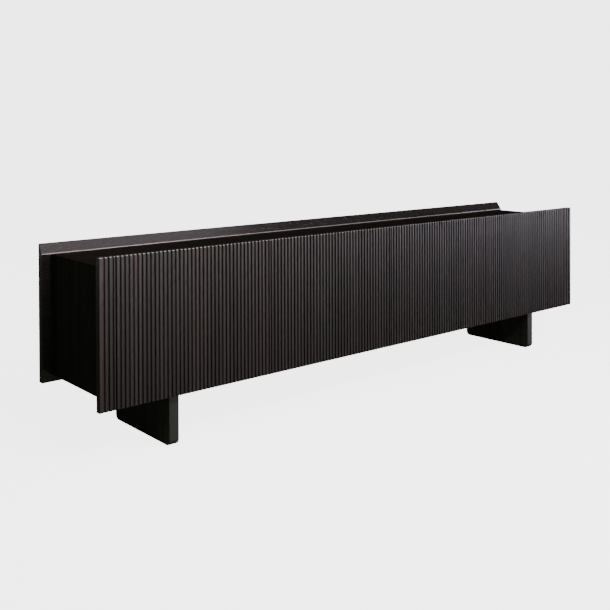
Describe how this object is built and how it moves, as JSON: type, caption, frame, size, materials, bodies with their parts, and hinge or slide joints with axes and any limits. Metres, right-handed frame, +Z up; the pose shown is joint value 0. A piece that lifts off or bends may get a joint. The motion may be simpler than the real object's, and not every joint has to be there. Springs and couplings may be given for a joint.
{
  "type": "sideboard",
  "caption": "Long low sideboard in near-black wood: fluted hinged doors and a bevelled back panel stand proud of a slimmer carcass with inner shelves, on slab legs.",
  "frame": {"origin": "on the floor, under the centre of the sideboard", "axes": "+X to the right along the length, +Y to the back (the fluted doors face -Y), +Z up"},
  "size_m": [2.6, 0.46, 0.67],
  "materials": {
    "fluted_wood": "near-black stained open-pore timber, satin",
    "panel_wood": "near-black stained open-pore veneer, satin",
    "carcass_wood": "near-black stained open-pore veneer, satin",
    "leg_wood": "near-black stained open-pore timber, satin",
    "dowel_wood": "plain beech, unfinished",
    "hinge_steel": "nickel-plated pressed steel",
    "fastener_steel": "zinc-plated steel",
    "catch_plastic": "moulded matt plastic",
    "magnet": "sintered magnet, dull grey",
    "glide_plastic": "moulded nylon",
    "bumper_rubber": "soft matt rubber"
  },
  "bodies": {
    "cabinet": {"back_panel": "panel_wood", "back_panel_screws": "fastener_steel", "carcass_bottom": "carcass_wood", "carcass_dowels": "dowel_wood", "carcass_left_side": "carcass_wood", "carcass_right_side": "carcass_wood", "carcass_top": "carcass_wood", "catch_magnets": "magnet", "hinge_arms_1": "hinge_steel", "hinge_arms_2": "hinge_steel", "hinge_arms_3": "hinge_steel", "hinge_arms_4": "hinge_steel", "hinge_plate_screws": "fastener_steel", "left_front_strip": "fluted_wood", "leg_bolts": "fastener_steel", "leg_glides": "glide_plastic", "leg_inserts": "fastener_steel", "leg_left": "leg_wood", "leg_right": "leg_wood", "magnetic_catches": "catch_plastic", "partition_centre": "carcass_wood", "partition_left": "carcass_wood", "partition_right": "carcass_wood", "right_front_strip": "fluted_wood", "shelf_1": "carcass_wood", "shelf_2": "carcass_wood", "shelf_3": "carcass_wood", "shelf_4": "carcass_wood", "shelf_pins": "fastener_steel", "strip_dowels": "dowel_wood"},
    "door_1": {"door_1": "fluted_wood", "door_1_bumpers": "bumper_rubber", "door_1_cup_screws": "fastener_steel", "door_1_hinge_cups": "hinge_steel", "door_1_strike_plate": "hinge_steel"},
    "door_2": {"door_2": "fluted_wood", "door_2_bumpers": "bumper_rubber", "door_2_cup_screws": "fastener_steel", "door_2_hinge_cups": "hinge_steel", "door_2_strike_plate": "hinge_steel"},
    "door_3": {"door_3": "fluted_wood", "door_3_bumpers": "bumper_rubber", "door_3_cup_screws": "fastener_steel", "door_3_hinge_cups": "hinge_steel", "door_3_strike_plate": "hinge_steel"},
    "door_4": {"door_4": "fluted_wood", "door_4_bumpers": "bumper_rubber", "door_4_cup_screws": "fastener_steel", "door_4_hinge_cups": "hinge_steel", "door_4_strike_plate": "hinge_steel"}
  },
  "joints": [
    {"name": "door_1_hinge", "type": "hinge", "parent": "cabinet", "child": "door_1", "pos_m": [-1.239, -0.229, 0.425], "axis": [0, 0, -1], "range_deg": [0, 105]},
    {"name": "door_2_hinge", "type": "hinge", "parent": "cabinet", "child": "door_2", "pos_m": [0.003, -0.229, 0.425], "axis": [0, 0, 1], "range_deg": [0, 90]},
    {"name": "door_3_hinge", "type": "hinge", "parent": "cabinet", "child": "door_3", "pos_m": [0.006, -0.229, 0.425], "axis": [0, 0, -1], "range_deg": [0, 90]},
    {"name": "door_4_hinge", "type": "hinge", "parent": "cabinet", "child": "door_4", "pos_m": [1.248, -0.229, 0.425], "axis": [0, 0, 1], "range_deg": [0, 105]}
  ]
}
